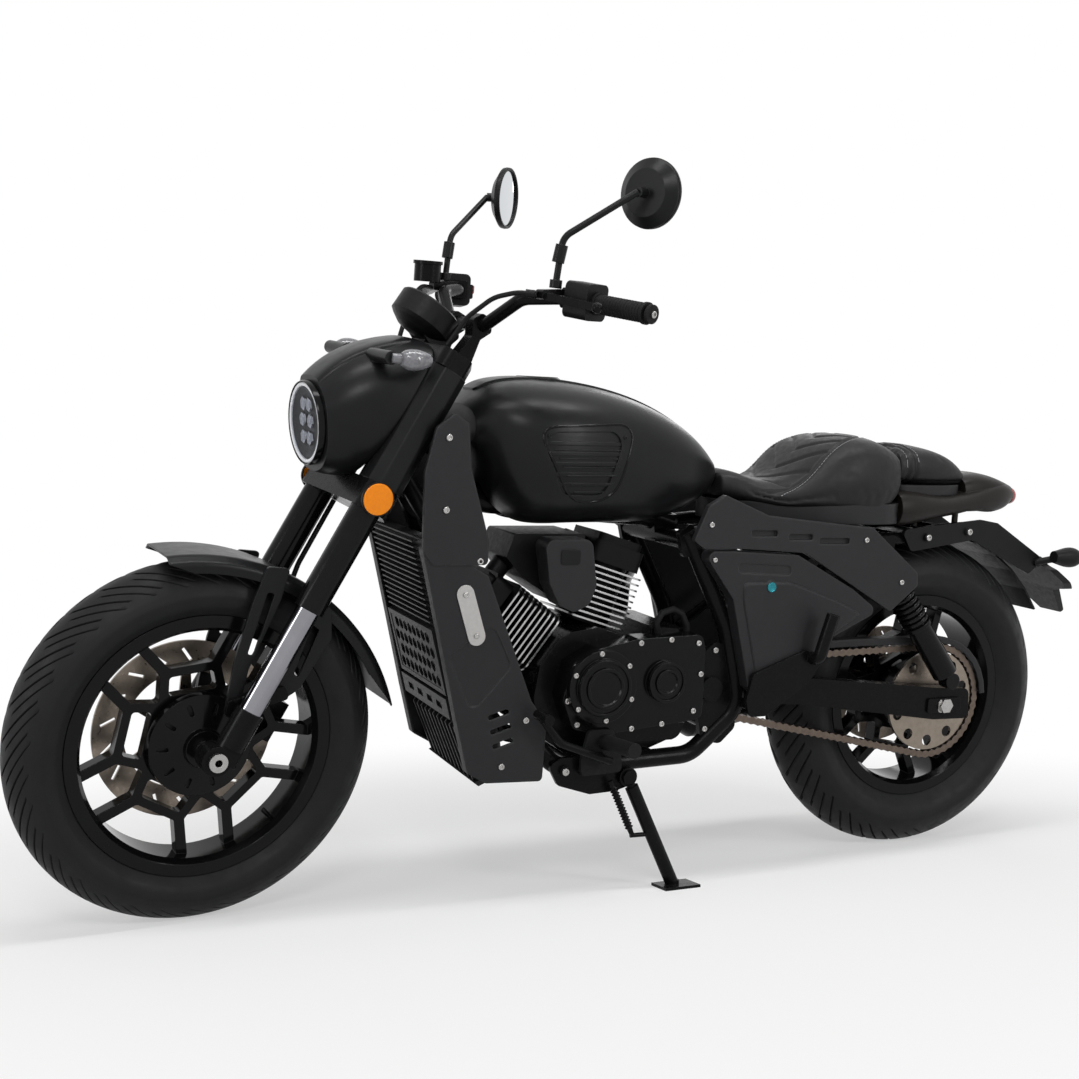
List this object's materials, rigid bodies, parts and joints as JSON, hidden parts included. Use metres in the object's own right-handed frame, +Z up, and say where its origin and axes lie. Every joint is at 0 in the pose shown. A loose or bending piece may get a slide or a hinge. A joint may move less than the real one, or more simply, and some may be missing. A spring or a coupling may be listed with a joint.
{
  "type": "cruiser motorcycle",
  "caption": "Black V-twin cruiser motorcycle leaning on its side stand, with turning bars, rolling wheels and a folding stand.",
  "frame": {"origin": "centre of the whole object's box in X and Y, on the ground it stands on", "axes": "+X forward along the machine, +Y to its left, +Z up; it leans to its left on the side stand with the bars turned a little left"},
  "size_m": [2.1133, 0.7066, 1.3133],
  "materials": {
    "badge_plates": "brushed",
    "chain_guard": "matt",
    "control_cables": "matt",
    "crankcase": "satin",
    "drive_chain": "oiled",
    "engine_covers": "gloss",
    "exhaust_pipes": "matt",
    "foot_levers": "satin",
    "fork_covers": "matt",
    "fork_feet": "satin",
    "fork_reflectors": "clear",
    "fork_stanchions": "polished",
    "fork_tubes": "satin",
    "frame_cradle": "satin",
    "frame_spine": "satin",
    "front_axle": "satin",
    "front_brake_disc": "brushed",
    "front_caliper": "satin",
    "front_cylinder": "satin with machined fin edges",
    "front_fender": "satin",
    "front_signals": "clear",
    "front_tyre": "matt",
    "front_wheel_casting": "satin",
    "fuel_tank": "satin",
    "grips": "matt",
    "hand_levers": "satin",
    "handlebar": "satin",
    "headlamp": "clear",
    "headlamp_cowl": "satin",
    "horn_cover": "satin",
    "instrument": "matt",
    "intake_box": "matt",
    "mirrors": "satin",
    "pillion_pegs": "satin",
    "pillion_seat": "soft",
    "plate_carrier": "matt",
    "radiator": "satin",
    "radiator_shrouds": "matt",
    "rear_axle": "satin",
    "rear_caliper": "satin",
    "rear_cylinder": "satin with machined fin edges",
    "rear_drive_plates": "brushed",
    "rear_indicators": "gloss",
    "rear_inner_fender": "matt",
    "rear_tyre": "matt",
    "rear_wheel_casting": "satin",
    "rider_pegs": "matt",
    "rider_seat": "soft",
    "seat_subframe": "satin",
    "seat_trims": "matt",
    "shock_bodies": "satin",
    "side_covers": "matt",
    "side_stand": "satin",
    "stand_bracket": "satin",
    "swingarm": "satin",
    "switchgear": "matt",
    "tail_cowl": "satin",
    "tail_lamp": "clear",
    "triple_clamps": "satin"
  },
  "bodies": {
    "chassis": {"badge_plates": "badge_plates", "chain_guard": "chain_guard", "crankcase": "crankcase", "drive_chain": "drive_chain", "engine_covers": "engine_covers", "exhaust_pipes": "exhaust_pipes", "foot_levers": "foot_levers", "frame_cradle": "frame_cradle", "frame_spine": "frame_spine", "front_cylinder": "front_cylinder", "fuel_tank": "fuel_tank", "horn_cover": "horn_cover", "intake_box": "intake_box", "pillion_pegs": "pillion_pegs", "pillion_seat": "pillion_seat", "plate_carrier": "plate_carrier", "radiator": "radiator", "radiator_shrouds": "radiator_shrouds", "rear_axle": "rear_axle", "rear_caliper": "rear_caliper", "rear_cylinder": "rear_cylinder", "rear_indicators": "rear_indicators", "rear_inner_fender": "rear_inner_fender", "rider_pegs": "rider_pegs", "rider_seat": "rider_seat", "seat_subframe": "seat_subframe", "seat_trims": "seat_trims", "shock_bodies": "shock_bodies", "side_covers": "side_covers", "stand_bracket": "stand_bracket", "swingarm": "swingarm", "tail_cowl": "tail_cowl", "tail_lamp": "tail_lamp"},
    "steering": {"triple_clamps": "triple_clamps", "fork_covers": "fork_covers", "fork_tubes": "fork_tubes", "fork_stanchions": "fork_stanchions", "fork_feet": "fork_feet", "fork_reflectors": "fork_reflectors", "front_axle": "front_axle", "handlebar": "handlebar", "grips": "grips", "switchgear": "switchgear", "hand_levers": "hand_levers", "control_cables": "control_cables", "mirrors": "mirrors", "instrument": "instrument", "headlamp_cowl": "headlamp_cowl", "headlamp": "headlamp", "front_fender": "front_fender", "front_signals": "front_signals", "front_caliper": "front_caliper"},
    "front_wheel": {"front_tyre": "front_tyre", "front_wheel_casting": "front_wheel_casting", "front_brake_disc": "front_brake_disc"},
    "rear_wheel": {"rear_tyre": "rear_tyre", "rear_wheel_casting": "rear_wheel_casting", "rear_drive_plates": "rear_drive_plates"},
    "side_stand": {"side_stand": "side_stand"}
  },
  "joints": [
    {"name": "steering_turn", "type": "hinge", "parent": "chassis", "child": "steering", "pos_m": [0.42048, -0.02356, 0.79912], "axis": [-0.4838, 0.1288, 0.8656], "range_deg": [-37, 23]},
    {"name": "front_wheel_spin", "type": "hinge", "parent": "steering", "child": "front_wheel", "pos_m": [0.75906, -0.09254, 0.29394], "axis": [-0.1067, 0.9731, -0.2043], "continuous": true},
    {"name": "rear_wheel_spin", "type": "hinge", "parent": "chassis", "child": "rear_wheel", "pos_m": [-0.6656, -0.09661, 0.30795], "axis": [0, 0.9891, -0.1471], "continuous": true},
    {"name": "side_stand_fold", "type": "hinge", "parent": "chassis", "child": "side_stand", "pos_m": [0.0343, 0.03269, 0.19846], "axis": [0, 0.9891, -0.1471], "range_deg": [0, 65]}
  ]
}
